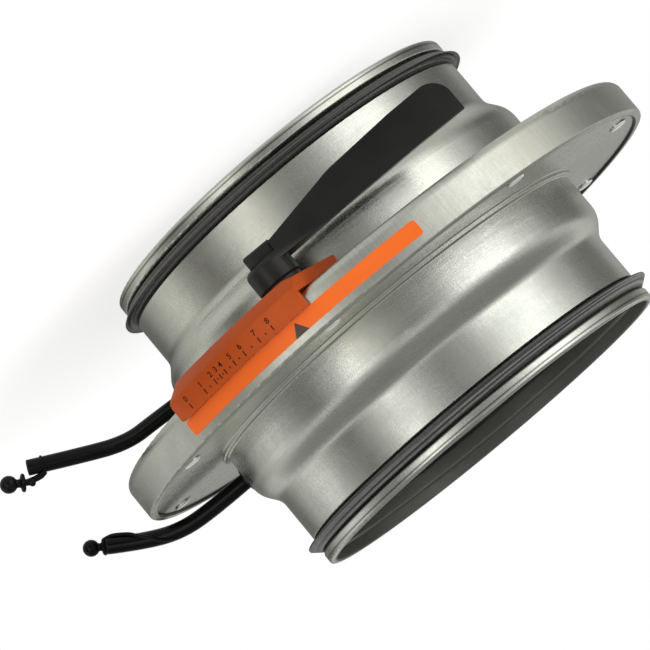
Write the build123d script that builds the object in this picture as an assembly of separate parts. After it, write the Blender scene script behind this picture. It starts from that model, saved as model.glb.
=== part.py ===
from build123d import *
import os
from math import acos, atan, cos, degrees, radians, sin, tan

# Iris volume control damper for a 125 mm round duct.
# Millimetres. The duct axis is Z and the damper stands on its lower spigot at Z = 0.
# Shapes are drawn from the middle plane of the drum and lifted by HALF_HEIGHT when they are written.
# Bearings run from -Y towards +X, so bearing 0 is the front and bearing 90 is +X.

# casings
HALF_HEIGHT = 50.5
SHEET = 0.8
SPIGOT_R = 61.8
HEM_R = SPIGOT_R + 0.6
HEM_LENGTH = 3.8
HEM_EDGE = 0.79
HEM_INNER_EDGE = 0.4
GROOVE_DEPTH = 1.4
GROOVE_LENGTH = 5.0
SPIGOT_END = 26.4
NECK_R = SPIGOT_R + 4.4
NECK_START = 20.6
STEP_RADIUS = 8.8
STEP_NECK_RADIUS = 5.0
LEDGE_R = NECK_R + 1.6
LEDGE_HEIGHT = 1.4
FORM_RADIUS = 0.4
DRUM_R = 95.5
DRUM_TOP = 6.2
DRUM_FLOOR = -6.4
DRUM_CORNER = 3.0
LIP_WIDTH = 2.6
LIP_RADIUS = 1.0
COVER_EDGE_GAP = 0.4
SHARP_BEND = 0.1
GROOVE_RADIUS = 0.4
NECK_RADII = [GROOVE_RADIUS] * 4 + [STEP_NECK_RADIUS, STEP_RADIUS]

# duct seals
SEAL_CLEARANCE = 0.05
SEAL_END_GAP = 0.35
SEAL_BASE = 1.7
SEAL_SHORT_LIP = 1.5
SEAL_SHORT_LEAN = 0.8
SEAL_LONG_LIP = 3.0
SEAL_LIP_THICKNESS = 0.9
SEAL_LONG_LEAN = 2.3
SEAL_LIP_PITCH = 1.5

# iris
BLADE_COUNT = 8
PIVOT_R = DRUM_R - 7.5
FIRST_PIVOT = 10.9
OPEN_RADIUS = SPIGOT_R - SHEET - 0.2
BLADE_R = PIVOT_R - 2.8
BLADE_ROOT_R = PIVOT_R + 4.3
BLADE_ROOT_SPAN = 39.0
BLADE_SPAN = 77.0
BLADE_HEEL = 1.2
BLADE_HEEL_RADIUS = 3.0
BLADE_STEP_RADIUS = 3.4
BLADE_SHEET = 0.4
BLADE_SLOPE = 0.042
BLADE_SLOPE_BEARING = 212.0
BLADE_DROP = 0.6
BLADE_BOSS_R = 4.8
RING_CLOSING = 24.0
PIVOT_PIN_R = 1.5
PIVOT_CLEARANCE = 0.08
PIVOT_DOME_R = 2.7
PIVOT_DOME_EDGE = 0.4
PIVOT_DOME_HEIGHT = 0.45
PIVOT_HEAD_R = 2.3
PIVOT_HEAD_HEIGHT = 0.6
PIVOT_HEAD_GAP = 0.15
DRIVE_R = PIVOT_R + 1.5
DRIVE_LAG = 30.0
DRIVE_PIN_R = 1.5
DRIVE_HEAD_R = 1.9
DRIVE_HEAD_HEIGHT = 0.4
DRIVE_SEAT_GAP = 0.02
DRIVE_TIP_GAP = 0.25

# control ring and its guides
RING_RIM_GAP = 1.5
RING_INNER_R = NECK_R - 1.6
RING_OUTER_R = DRUM_R - SHEET - RING_RIM_GAP
RING_WEB = 3.0
RING_SHEET = 1.1
RING_LIFT = 0.3
CAM_CLEARANCE = 0.2
SHOE_BEARING = 16.5
SHOE_WIDTH = 7.0
SHOE_NOTCH = 2.2
SHOE_OVERLAP = 2.2
SHOE_FLANGE = 1.8
SHOE_RUNNING_GAP = 0.3
SHOE_FLOOR_GAP = 0.1
NOTCH_CLEARANCE = 0.1

# clamp, scale bracket and lever
CLAMP_R = PIVOT_R - 6.0
CLAMP_BEARING = 14.2
BOLT_R = 3.0
BOLT_HEAD_R = 5.5
BOLT_HEAD_HEIGHT = 1.8
BOLT_END_CHAMFER = 0.6
BOLT_PROUD = 0.7
BOLT_CLEARANCE = 0.1
NUT_CLEARANCE = 0.05
BUSH_R = 4.5
BUSH_CLEARANCE = 0.3
BRACKET_GAP = 0.3
BRACKET_WALL_GAP = 0.8
BRACKET_FACE_THICKNESS = 1.9
BRACKET_FACE_TOP = DRUM_FLOOR + 4.2
BRACKET_FACE_BOTTOM = BRACKET_FACE_TOP - 6.0
BRACKET_BOTTOM = BRACKET_FACE_BOTTOM - 3.7
BRACKET_BEVEL = 3.2
BRACKET_INNER_R = LEDGE_R + 5.7
BRACKET_START = 7.0
BRACKET_TIP_R = 78.0
BRACKET_TIP_BEARING = 2.6
BRACKET_TIP_RADIUS = 4.0
BRACKET_FACE_START = 10.9
BRACKET_END = 42.7
BRACKET_WING_RUN = 9.0
BRACKET_NOSE = 2.3
BRACKET_NOSE_RADIUS = 1.6
BRACKET_CORNER_RUN = 5.8
BRACKET_CORNER_RADIUS = 3.2
BRACKET_TOP_RADIUS = 0.8
WASHER_R = 6.5
WASHER_HEIGHT = 1.4
LEVER_HUB_R = 7.1
LEVER_HUB_HEIGHT = 7.9
LEVER_HUB_ROUNDING = 2.0
LEVER_FLARE = 27.0
LEVER_SHOULDER_GAP = 0.15
LEVER_THICKNESS = 3.0
LEVER_LENGTH = 71.0
LEVER_TOP_DROP = 5.2
LEVER_WAIST_DEPTH = 11.2
LEVER_WAIST_RADIUS = 25.0
LEVER_TIP_DEPTH = 12.4
LEVER_TIP_RADIUS = 6.5
LEVER_EDGE = 0.6
NUT_WIDTH = 8.8
NUT_HEIGHT = 3.2

# pointer sticker on the drum wall
STICKER_START = -11.6
STICKER_END = 43.8
STICKER_BOTTOM = -1.65
STICKER_TOP = 3.2
STICKER_THICKNESS = 0.2
STICKER_GAP = 0.02
STICKER_CORNER = 0.9

# measuring nipples, tubes and plugs
NIPPLE_HEIGHT = 13.1
UPPER_BEARING = 100.0
LOWER_BEARING = 68.0
NIPPLE_FLANGE_R = 4.2
NIPPLE_FLANGE = 1.2
NIPPLE_SHANK_R = 2.4
NIPPLE_TAIL_R = 3.2
NIPPLE_TAIL = 0.7
NIPPLE_STUB = 5.6
NIPPLE_BORE_R = 0.8
NIPPLE_CLEARANCE = 0.05
TUBE_R = 2.75
TUBE_BORE_R = 1.5
TUBE_ARC_SHARE = 0.45
PLUG_COLLAR_R = 2.9
PLUG_COLLAR = 1.3
PLUG_NECK_R = 1.5
PLUG_NECK = 1.5
PLUG_BALL_R = 2.35
PLUG_STEM = 3.0
PLUG_STEM_CHAMFER = 0.4
PLUG_COLLAR_CHAMFER = 0.5
PLUG_CLEARANCE = 0.02
FITTED_STRAP_TURN = 150.0
BAND_WALL = 0.45
BAND_WIDTH = 1.6
BAND_SETBACK = 4.4
STRAP_WIDTH = 2.0
STRAP_THICKNESS = 0.8
SPARE_PLUG_REACH = 3.6
SPARE_PLUG_OFFSET = 4.7

# distance from the duct axis, height and sideways offset of each point of a tube's route
UPPER_ROUTE = [(79.6, 13.1, 0), (93.4, 11.9, 0.9), (105.0, 6.6, 0.6), (114.6, 0.4, -0.6)]
LOWER_ROUTE = [(79.6, -13.1, 0), (91.8, -12.7, -0.9), (105.4, -18.1, -0.4), (119.4, -24.6, 1.4)]


def bearing_point(radius, bearing, z=0.0):
    turn = radians(bearing)
    return Vector(radius * sin(turn), -radius * cos(turn), z)


def place(radius, bearing, z=0.0):
    """Local +X points away from the duct axis."""
    return Pos(*bearing_point(radius, bearing, z)) * Rot(0, 0, bearing - 90)


def around(shape, bearing):
    return Rot(0, 0, bearing) * shape


def write(shape, name):
    export_step(Pos(0, 0, HALF_HEIGHT) * shape, f"parts/{name}.step")


def disc(radius, bottom, top):
    return Pos(0, 0, bottom) * Cylinder(radius, top - bottom, align=(Align.CENTER, Align.CENTER, Align.MIN))


def revolved(profile):
    return revolve(Plane.XZ * profile, Axis.Z)


def sector(inner, outer, start, end):
    """A flat piece of an annulus between two bearings."""
    sweep_angle = end - start
    outer_arc = CenterArc((0, 0), outer, start - 90, sweep_angle)
    inner_arc = CenterArc((0, 0), inner, start - 90, sweep_angle)
    ends = [Line(inner_arc @ 0, outer_arc @ 0), Line(inner_arc @ 1, outer_arc @ 1)]
    return make_face([outer_arc, inner_arc] + ends)


def round_corner(sketch, radius, bearing, size):
    corner = bearing_point(radius, bearing)
    vertex = sketch.vertices().sort_by_distance(corner)[0]
    return fillet(vertex, size)


# ---- casings ----


def neck_outline():
    """Outer skin of a spigot and neck, from the hem to the wide neck."""
    hem_start = HALF_HEIGHT - HEM_LENGTH
    groove_r = SPIGOT_R - GROOVE_DEPTH
    groove_end = hem_start - GROOVE_LENGTH
    points = [
        (SPIGOT_R, hem_start + SHEET),
        (SPIGOT_R, hem_start),
        (groove_r, hem_start - SHEET / 2),
        (groove_r, groove_end + SHEET / 2),
        (SPIGOT_R, groove_end),
        (SPIGOT_R, SPIGOT_END),
        (NECK_R, NECK_START),
    ]
    return points


def parallel_points(points, distance):
    """The corners of a line drawn beside an open line; a positive distance is on its left."""
    directions = [(end - start).normalized() for start, end in zip(points, points[1:])]
    normals = [direction.rotate(Axis.Z, 90) for direction in directions]
    corners = [points[0] + normals[0] * distance]
    for corner, before, after in zip(points[1:], normals, normals[1:]):
        corners.append(corner + (before + after) * (distance / (1 + before.dot(after))))
    return corners + [points[-1] + normals[-1] * distance]


def bend_radii(points, radii, distance):
    """Radii of the bends of a parallel line, so that the sheet keeps its thickness."""
    beside = []
    for start, corner, end, radius in zip(points, points[1:], points[2:], radii):
        turns_left = (corner - start).cross(end - corner).Z > 0
        moved = radius - distance if turns_left else radius + distance
        beside.append(max(moved, SHARP_BEND))
    return beside


def sheet_profile(corners, radii, distance):
    """Section of bent sheet between its outer skin and a line drawn beside it."""
    skin = [Vector(*corner) for corner in corners]
    inner = parallel_points(skin, distance)
    outer_line = FilletPolyline(*skin, radius=radii)
    inner_line = FilletPolyline(*inner, radius=bend_radii(skin, radii, distance))
    ends = [Line(skin[0], inner[0]), Line(skin[-1], inner[-1])]
    return make_face(outer_line.edges() + inner_line.edges() + ends)


def hem_profile():
    """Rolled end: two layers of sheet with rounded outer corners."""
    thickness = HEM_R - SPIGOT_R + 2 * SHEET
    hem = Pos(HEM_R - thickness / 2, HALF_HEIGHT - HEM_LENGTH / 2) * Rectangle(thickness, HEM_LENGTH)
    hem = fillet(hem.vertices().group_by(Axis.X)[-1], HEM_EDGE)
    return fillet(hem.vertices().sort_by_distance((HEM_R - thickness, HALF_HEIGHT))[0], HEM_INNER_EDGE)


def tube_hole(bearing, z):
    drill = Rot(0, 90, 0) * Cylinder(NIPPLE_SHANK_R + NIPPLE_CLEARANCE, NECK_R / 2)
    return place(NECK_R, bearing, z) * drill


def cover_plate_top():
    return DRUM_TOP - SHEET


def cover_plate_bottom():
    return cover_plate_top() - SHEET


def floor_top():
    return DRUM_FLOOR + SHEET


def upper_casing():
    plate = cover_plate_top()
    points = neck_outline() + [
        (NECK_R, plate + LEDGE_HEIGHT),
        (LEDGE_R, plate + LEDGE_HEIGHT),
        (LEDGE_R, plate),
        (DRUM_R - SHEET - COVER_EDGE_GAP, plate),
    ]
    radii = NECK_RADII + [FORM_RADIUS] * 3
    body = revolved(sheet_profile(points, radii, -SHEET)) + revolved(hem_profile())
    for pivot in pivot_bearings():
        body -= place(PIVOT_R, pivot, plate) * Cylinder(PIVOT_PIN_R, 4 * SHEET)
    return body - tube_hole(UPPER_BEARING, NIPPLE_HEIGHT)


def clamp_slot():
    """Arc slot in the drum floor; the bush of the scale bracket runs in it."""
    half_width = BUSH_R + BUSH_CLEARANCE
    open_bearing = CLAMP_BEARING - RING_CLOSING
    centre_line = CenterArc((0, 0), CLAMP_R, open_bearing - 90, RING_CLOSING)
    return SlotArc(centre_line, 2 * half_width)


def lower_casing():
    points = [(r, -z) for r, z in neck_outline()] + [
        (NECK_R, DRUM_FLOOR - LEDGE_HEIGHT),
        (LEDGE_R, DRUM_FLOOR - LEDGE_HEIGHT),
        (LEDGE_R, DRUM_FLOOR),
        (DRUM_R, DRUM_FLOOR),
        (DRUM_R, DRUM_TOP),
        (DRUM_R - LIP_WIDTH, DRUM_TOP),
    ]
    radii = NECK_RADII + [FORM_RADIUS] * 3 + [DRUM_CORNER, LIP_RADIUS]
    body = revolved(sheet_profile(points, radii, SHEET)) + revolved(mirror(hem_profile(), Plane.XZ))
    body -= Pos(0, 0, DRUM_FLOOR - SHEET) * extrude(clamp_slot(), 3 * SHEET)
    return body - tube_hole(LOWER_BEARING, -NIPPLE_HEIGHT)


def duct_seal():
    """Rubber ring with two lips that lean away from the open end."""
    groove_r = SPIGOT_R - GROOVE_DEPTH + SEAL_CLEARANCE
    top = HALF_HEIGHT - HEM_LENGTH - SHEET / 2 - SEAL_END_GAP
    bottom = top - GROOVE_LENGTH + SHEET + 2 * SEAL_END_GAP
    root = groove_r + SEAL_BASE
    lips = [(top, SEAL_LONG_LIP, SEAL_LONG_LEAN), (top - SEAL_LIP_PITCH, SEAL_SHORT_LIP, SEAL_SHORT_LEAN)]
    profile = Pos((groove_r + root) / 2, (top + bottom) / 2) * Rectangle(SEAL_BASE, top - bottom)
    for height, reach, lean in lips:
        lip = [
            (root - SEAL_BASE / 2, height),
            (root, height),
            (root + reach, height - lean),
            (root + reach, height - lean - SEAL_LIP_THICKNESS / 2),
            (root, height - SEAL_LIP_THICKNESS - lean / 5),
            (root - SEAL_BASE / 2, height - SEAL_LIP_THICKNESS),
        ]
        profile += make_face(Polyline(*lip, close=True))
    return revolved(profile)


# ---- iris ----


def pivot_bearings():
    return [FIRST_PIVOT + index * 360 / BLADE_COUNT for index in range(BLADE_COUNT)]


def blade_height():
    """Middle of a blade's sheet at its pivot."""
    return cover_plate_bottom() - BLADE_DROP


def blade_outline():
    """A flat crescent drawn for the open iris, with its pivot at bearing 0."""
    body = sector(OPEN_RADIUS, BLADE_R, -BLADE_SPAN, BLADE_HEEL)
    root = sector(OPEN_RADIUS, BLADE_ROOT_R, -BLADE_ROOT_SPAN, BLADE_HEEL)
    tip_radius = (BLADE_R - OPEN_RADIUS) / 2
    tip = Pos(*bearing_point(OPEN_RADIUS + tip_radius, -BLADE_SPAN)) * Circle(tip_radius)
    outline = body + root
    outline = round_corner(outline, BLADE_R, -BLADE_ROOT_SPAN, BLADE_STEP_RADIUS)
    outline = round_corner(outline, BLADE_ROOT_R, -BLADE_ROOT_SPAN, BLADE_STEP_RADIUS)
    outline = round_corner(outline, OPEN_RADIUS, BLADE_HEEL, BLADE_HEEL_RADIUS)
    return outline + tip + Pos(0, -PIVOT_R) * Circle(BLADE_BOSS_R)


def blade_tilt():
    """Leans a flat blade about its pivot, so that neighbours pass over one another."""
    lean = degrees(atan(BLADE_SLOPE))
    axis_angle = BLADE_SLOPE_BEARING
    return Rot(0, 0, axis_angle) * Rot(lean, 0, 0) * Rot(0, 0, -axis_angle)


def blade_closing():
    """How far a blade swings until its drive pin reaches the inner web of the ring."""
    arm = (bearing_point(DRIVE_R, -DRIVE_LAG) - bearing_point(PIVOT_R, 0)).length

    def pivot_angle(pin_radius):
        return degrees(acos((PIVOT_R ** 2 + arm ** 2 - pin_radius ** 2) / (2 * PIVOT_R * arm)))

    return pivot_angle(DRIVE_R) - pivot_angle(RING_INNER_R + RING_WEB)


def blade_depth(point):
    """How far a tilted blade lies below its pivot at a point drawn for the open iris."""
    fall = radians(BLADE_SLOPE_BEARING - 90)
    away = point - bearing_point(PIVOT_R, 0)
    return BLADE_SLOPE * (away.X * cos(fall) + away.Y * sin(fall))


def closed_blade(shape, pivot):
    """Moves a shape with its pivot at the origin to a closed blade's place."""
    return Pos(*bearing_point(PIVOT_R, pivot, blade_height())) * Rot(0, 0, pivot - blade_closing()) * shape


def blade():
    sheet = Pos(0, PIVOT_R, -BLADE_SHEET / 2) * extrude(blade_outline(), BLADE_SHEET)
    sheet -= Cylinder(PIVOT_PIN_R + PIVOT_CLEARANCE, 4 * BLADE_SHEET)
    drive = bearing_point(DRIVE_R, -DRIVE_LAG) + Vector(0, PIVOT_R, 0)
    sheet -= Pos(*drive) * Cylinder(DRIVE_PIN_R + DRIVE_SEAT_GAP, 4 * BLADE_SHEET)
    return blade_tilt() * sheet


def drive_pin():
    """Stud riveted to a blade; its lower end runs in a slot of the control ring."""
    spot = bearing_point(DRIVE_R, -DRIVE_LAG)
    height = -blade_depth(spot)
    lean_room = DRIVE_HEAD_R * BLADE_SLOPE + DRIVE_SEAT_GAP
    top = height + BLADE_SHEET / 2 + lean_room
    bottom = floor_top() + DRIVE_TIP_GAP - blade_height()
    collar_top = height - BLADE_SHEET / 2 - lean_room
    stud = disc(DRIVE_PIN_R, bottom, top)
    stud += disc(DRIVE_HEAD_R, top, top + DRIVE_HEAD_HEIGHT)
    stud += disc(DRIVE_HEAD_R, collar_top - DRIVE_HEAD_HEIGHT, collar_top)
    return Pos(spot.X, spot.Y + PIVOT_R, 0) * stud


def pivot_rivet():
    """Rivet through the cover plate; its lower head carries the blade."""
    plate = cover_plate_top()
    head_top = blade_height() - BLADE_SHEET / 2 - PIVOT_HEAD_GAP
    shank = disc(PIVOT_PIN_R, head_top, plate)
    head = disc(PIVOT_HEAD_R, head_top - PIVOT_HEAD_HEIGHT, head_top)
    rise = PIVOT_DOME_HEIGHT
    ball_r = (PIVOT_DOME_R ** 2 + rise ** 2) / (2 * rise)
    edge_top = plate + PIVOT_DOME_EDGE
    dome = Pos(0, 0, edge_top + rise - ball_r) * Sphere(ball_r)
    dome &= disc(PIVOT_DOME_R, plate, edge_top + rise)
    spacer_top = cover_plate_bottom()
    spacer_bottom = blade_height() + BLADE_SHEET / 2 + PIVOT_HEAD_GAP
    return shank + head + dome + disc(PIVOT_HEAD_R, spacer_bottom, spacer_top)


def drive_point(share):
    """Where a drive pin sits in the closed ring's frame; share 0 is closed and 1 is open."""
    start = bearing_point(DRIVE_R, -DRIVE_LAG) - bearing_point(PIVOT_R, 0)
    swung = start.rotate(Axis.Z, -blade_closing() * (1 - share)) + bearing_point(PIVOT_R, 0)
    return swung.rotate(Axis.Z, RING_CLOSING * share)


# ---- control ring ----


def ring_bottom():
    return floor_top() + RING_LIFT


def ring_top():
    return ring_bottom() + RING_SHEET


def shoe_bearings():
    return [pivot + SHOE_BEARING for pivot in pivot_bearings()]


def control_ring():
    plate = Circle(RING_OUTER_R) - Circle(RING_INNER_R)
    cam = SlotArc(ThreePointArc(drive_point(0), drive_point(0.5), drive_point(1)), 2 * (DRIVE_PIN_R + CAM_CLEARANCE))
    for pivot in pivot_bearings():
        plate -= around(cam, pivot)
    notch_width = SHOE_WIDTH + 2 * NOTCH_CLEARANCE
    for bearing in shoe_bearings():
        plate -= place(RING_OUTER_R, bearing) * Rectangle(2 * SHOE_NOTCH, notch_width)
    plate -= place(CLAMP_R, CLAMP_BEARING) * Circle(BOLT_R + BOLT_CLEARANCE)
    return Pos(0, 0, ring_bottom()) * extrude(plate, RING_SHEET)


def guide_shoe():
    """Nylon shoe in a rim notch; it slides on the drum floor and steers on the drum wall."""
    wall_r = DRUM_R - SHEET - SHOE_RUNNING_GAP
    notch_r = RING_OUTER_R - SHOE_NOTCH + NOTCH_CLEARANCE
    bottom = floor_top() + SHOE_FLOOR_GAP
    top = ring_top() + SHOE_FLANGE
    block = Pos(0, 0, bottom) * Box(wall_r + 1, SHOE_WIDTH, top - bottom, align=(Align.MIN, Align.CENTER, Align.MIN))
    rim = disc(wall_r, bottom, top)
    rim = fillet(rim.edges().group_by(Axis.Z)[0], DRUM_CORNER - SHEET + SHOE_FLOOR_GAP)
    rim -= disc(notch_r, bottom, ring_top())
    return block & (rim - disc(notch_r - SHOE_OVERLAP, bottom, top))


# ---- clamp ----


def clamp_place(z=0.0):
    return place(CLAMP_R, CLAMP_BEARING, z)


def washer_bottom():
    return BRACKET_BOTTOM - WASHER_HEIGHT


def hub_bottom():
    return washer_bottom() - LEVER_HUB_HEIGHT


def nut_bottom():
    return hub_bottom() - NUT_HEIGHT


def clamp_bolt():
    head = disc(BOLT_HEAD_R, ring_top(), ring_top() + BOLT_HEAD_HEIGHT)
    end = nut_bottom() - BOLT_PROUD
    shank = disc(BOLT_R, end, ring_top())
    shank = chamfer(shank.edges().group_by(Axis.Z)[0], BOLT_END_CHAMFER)
    return clamp_place() * (fillet(head.edges().group_by(Axis.Z)[-1], BOLT_END_CHAMFER) + shank)


def bracket_face_r():
    return DRUM_R + BRACKET_WALL_GAP + BRACKET_FACE_THICKNESS


def bracket_side():
    """Side view of the bracket: low wing with a round nose, and a raised scale face."""
    middle = (BRACKET_START + BRACKET_END) / 2
    reach = bracket_face_r()

    def across(bearing):
        return reach * sin(radians(bearing - middle))

    left = across(BRACKET_START)
    face_left = across(BRACKET_FACE_START)
    right = across(BRACKET_END)
    base_top = DRUM_FLOOR - BRACKET_GAP
    nose = (left, base_top - BRACKET_NOSE)
    corner = (right, BRACKET_FACE_BOTTOM)
    points = [
        (left, base_top),
        (face_left, base_top),
        (face_left, BRACKET_FACE_TOP),
        (right, BRACKET_FACE_TOP),
        corner,
        (right - BRACKET_CORNER_RUN, BRACKET_BOTTOM),
        (left + BRACKET_WING_RUN, BRACKET_BOTTOM),
        nose,
    ]
    outline = make_face(Polyline(*points, close=True))
    outline = fillet(outline.vertices().sort_by_distance(corner)[0], BRACKET_CORNER_RADIUS)
    outline = fillet(outline.vertices().sort_by_distance((right, BRACKET_FACE_TOP))[0], BRACKET_TOP_RADIUS)
    return fillet(outline.vertices().sort_by_distance(nose)[0], BRACKET_NOSE_RADIUS), middle


def wing_cut():
    """Plan view of what is cut away beside the wing, whose side slants back from the scale face."""
    front = bearing_point(bracket_face_r() + 1, BRACKET_FACE_START)
    tip = bearing_point(BRACKET_TIP_R, BRACKET_TIP_BEARING)
    far = 2 * DRUM_R
    points = [front, tip, (tip.X, 0), (-far, 0), (-far, -far), (front.X, -far)]
    outline = make_face(Polyline(*points, close=True))
    return fillet(outline.vertices().sort_by_distance(tip)[0], BRACKET_TIP_RADIUS)


def scale_bracket():
    """Orange moulding under the drum floor; its face in front of the drum wall carries the scale."""
    face_r = bracket_face_r()
    wall_r = DRUM_R + BRACKET_WALL_GAP
    base_top = DRUM_FLOOR - BRACKET_GAP
    section = [
        (BRACKET_INNER_R, base_top),
        (wall_r, base_top),
        (wall_r, BRACKET_FACE_TOP),
        (face_r, BRACKET_FACE_TOP),
        (face_r, BRACKET_FACE_BOTTOM),
        (face_r - BRACKET_BEVEL, BRACKET_BOTTOM),
        (BRACKET_INNER_R, BRACKET_BOTTOM),
    ]
    band = revolved(make_face(Polyline(*section, close=True)))
    side, middle = bracket_side()
    cutter = Rot(0, 0, middle) * extrude(Plane.XZ * side, face_r + 1)
    bracket = band & cutter
    bracket -= Pos(0, 0, BRACKET_BOTTOM - 1) * extrude(wing_cut(), DRUM_TOP - BRACKET_BOTTOM)
    bracket += clamp_place() * disc(BUSH_R, base_top, ring_bottom())
    return bracket - clamp_place() * disc(BOLT_R + BOLT_CLEARANCE, BRACKET_BOTTOM - 1, ring_top())


def clamp_washer():
    return clamp_place() * (
        disc(WASHER_R, washer_bottom(), BRACKET_BOTTOM)
        - disc(BOLT_R + BOLT_CLEARANCE, washer_bottom() - 1, BRACKET_BOTTOM + 1)
    )


def lever_side():
    """Side view of the lever arm; it deepens towards a rounded tip."""
    top = washer_bottom() - LEVER_TOP_DROP
    shoulder = -NUT_WIDTH / 2 - LEVER_SHOULDER_GAP
    waist = (-LEVER_LENGTH * 0.42, top - LEVER_WAIST_DEPTH)
    tip = (-LEVER_LENGTH, top - LEVER_TIP_DEPTH)
    points = [
        (0, top),
        (-LEVER_LENGTH, top),
        tip,
        (-LEVER_LENGTH * 0.75, top - LEVER_TIP_DEPTH),
        waist,
        (shoulder, nut_bottom() + LEVER_SHOULDER_GAP),
        (shoulder, hub_bottom()),
        (0, hub_bottom()),
    ]
    outline = make_face(Polyline(*points, close=True))
    outline = fillet(outline.vertices().sort_by_distance(tip)[0], LEVER_TIP_RADIUS)
    return fillet(outline.vertices().sort_by_distance(waist)[0], LEVER_WAIST_RADIUS)


def lever_plan():
    """Top view of the lever arm; it narrows from the hub to a flat grip."""
    half = LEVER_THICKNESS / 2
    root = LEVER_HUB_R - LEVER_EDGE
    points = [(0, root), (-LEVER_FLARE, half), (-LEVER_LENGTH, half)]
    mirrored = [(x, -y) for x, y in reversed(points)]
    return make_face(Polyline(*points, *mirrored, close=True))


def lock_lever():
    """Hub on the bolt and an arm that points to -X when the clamp is tight."""
    top = washer_bottom()
    arm = extrude(Plane.XZ * lever_side(), LEVER_HUB_R, both=True)
    arm &= Pos(0, 0, nut_bottom() - LEVER_LENGTH / 2) * extrude(lever_plan(), LEVER_LENGTH)
    hub = disc(LEVER_HUB_R, hub_bottom(), top)
    hub = chamfer(hub.edges().group_by(Axis.Z)[-1], LEVER_EDGE)
    hub = fillet(hub.edges().group_by(Axis.Z)[0], LEVER_HUB_ROUNDING)
    bore = disc(BOLT_R + BOLT_CLEARANCE, nut_bottom(), top + 1)
    return Pos(*bearing_point(CLAMP_R, CLAMP_BEARING)) * (arm + hub - bore)


def lever_nut():
    nut = Pos(0, 0, nut_bottom()) * Box(NUT_WIDTH, NUT_WIDTH, NUT_HEIGHT, align=(Align.CENTER, Align.CENTER, Align.MIN))
    nut = chamfer(nut.edges().group_by(Axis.Z)[0], 0.5)
    nut -= disc(BOLT_R + NUT_CLEARANCE, nut_bottom() - 1, hub_bottom() + 1)
    return Pos(*bearing_point(CLAMP_R, CLAMP_BEARING)) * nut


def pointer_label():
    """Sticker on the drum wall behind the pointer mark."""
    inner = DRUM_R + STICKER_GAP
    outer = inner + STICKER_THICKNESS
    height = STICKER_TOP - STICKER_BOTTOM
    band = disc(outer, STICKER_BOTTOM, STICKER_TOP) - disc(inner, STICKER_BOTTOM, STICKER_TOP)
    middle = (STICKER_START + STICKER_END) / 2
    width = 2 * outer * sin(radians((STICKER_END - STICKER_START) / 2))
    outline = Pos(0, STICKER_BOTTOM + height / 2) * RectangleRounded(width, height, STICKER_CORNER)
    cutter = Rot(0, 0, middle) * extrude(Plane.XZ * outline, outer + 1)
    return band & cutter


# ---- measuring tubes ----


def nipple(bearing, z):
    """Nipple crimped into the neck, drawn along +Z and laid out from the duct axis."""
    outside = NECK_R + NIPPLE_CLEARANCE
    inside = NECK_R - SHEET - 3 * NIPPLE_CLEARANCE
    shape = disc(NIPPLE_SHANK_R, inside, outside)
    shape += disc(NIPPLE_FLANGE_R, outside, outside + NIPPLE_FLANGE)
    shape += disc(NIPPLE_TAIL_R, inside - NIPPLE_TAIL, inside)
    stub_end = outside + NIPPLE_FLANGE + NIPPLE_STUB
    shape += disc(TUBE_BORE_R - NIPPLE_CLEARANCE, outside, stub_end)
    shape -= disc(NIPPLE_BORE_R, inside - NIPPLE_TAIL, stub_end)
    return Pos(0, 0, z) * Rot(0, 0, bearing - 90) * Rot(0, 90, 0) * shape


def route_points(route, bearing, start_z):
    outward = bearing_point(1, bearing)
    sideways = outward.rotate(Axis.Z, 90)
    start = NECK_R + NIPPLE_CLEARANCE + NIPPLE_FLANGE
    points = [outward * start + Vector(0, 0, start_z)]
    for distance, height, offset_across in route:
        points.append(outward * distance + sideways * offset_across + Vector(0, 0, height))
    return points


def tube_path(points, name):
    radii = []
    for before, corner, after in zip(points, points[1:], points[2:]):
        shorter = min((corner - before).length, (after - corner).length)
        turn = radians((corner - before).get_angle(after - corner))
        radii.append(TUBE_ARC_SHARE * shorter / tan(turn / 2))
    path = FilletPolyline(*points, radius=radii)
    print(name, "arc radii", [round(radius, 1) for radius in radii], "length", round(path.length, 1))
    return path


def tube(path, name):
    start = Plane(path @ 0, z_dir=path % 0)
    section = start * (Circle(TUBE_R) - Circle(TUBE_BORE_R))
    body = sweep(section, path)
    area = 3.14159265 * (TUBE_R ** 2 - TUBE_BORE_R ** 2)
    print(name, "volume over section times length", round(body.volume / (area * path.length), 4))
    return body


def tube_end(path):
    """Frame at the open end of a tube; local +Z leaves the tube and local +X is its upper side."""
    outward = path % 1
    upward = Vector(0, 0, 1) - outward * outward.Z
    return Plane(path @ 1, x_dir=upward.normalized(), z_dir=outward)


def plug():
    """Stem below the origin, then collar, neck and ball."""
    neck_top = PLUG_COLLAR + PLUG_NECK
    stem = disc(TUBE_BORE_R - PLUG_CLEARANCE, -PLUG_STEM, 0)
    stem = chamfer(stem.edges().group_by(Axis.Z)[0], PLUG_STEM_CHAMFER)
    collar = disc(PLUG_COLLAR_R, 0, PLUG_COLLAR)
    collar = chamfer(collar.edges().group_by(Axis.Z)[-1], PLUG_COLLAR_CHAMFER)
    neck = disc(PLUG_NECK_R, 0, neck_top + PLUG_BALL_R)
    return stem + collar + neck + Pos(0, 0, neck_top + PLUG_BALL_R * 0.8) * Sphere(PLUG_BALL_R)


def strap(end, across):
    """Band round the tube and a flat strap from it along the tube."""
    inner = TUBE_R + PLUG_CLEARANCE
    band = disc(TUBE_R + BAND_WALL, -BAND_SETBACK, BAND_WIDTH - BAND_SETBACK)
    band -= disc(inner, -2 * BAND_SETBACK, BAND_SETBACK)
    bar = Box(STRAP_THICKNESS, STRAP_WIDTH, end + BAND_SETBACK, align=(Align.MIN, Align.CENTER, Align.MIN))
    return band + Rot(0, 0, across) * Pos(inner, 0, -BAND_SETBACK) * bar


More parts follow.
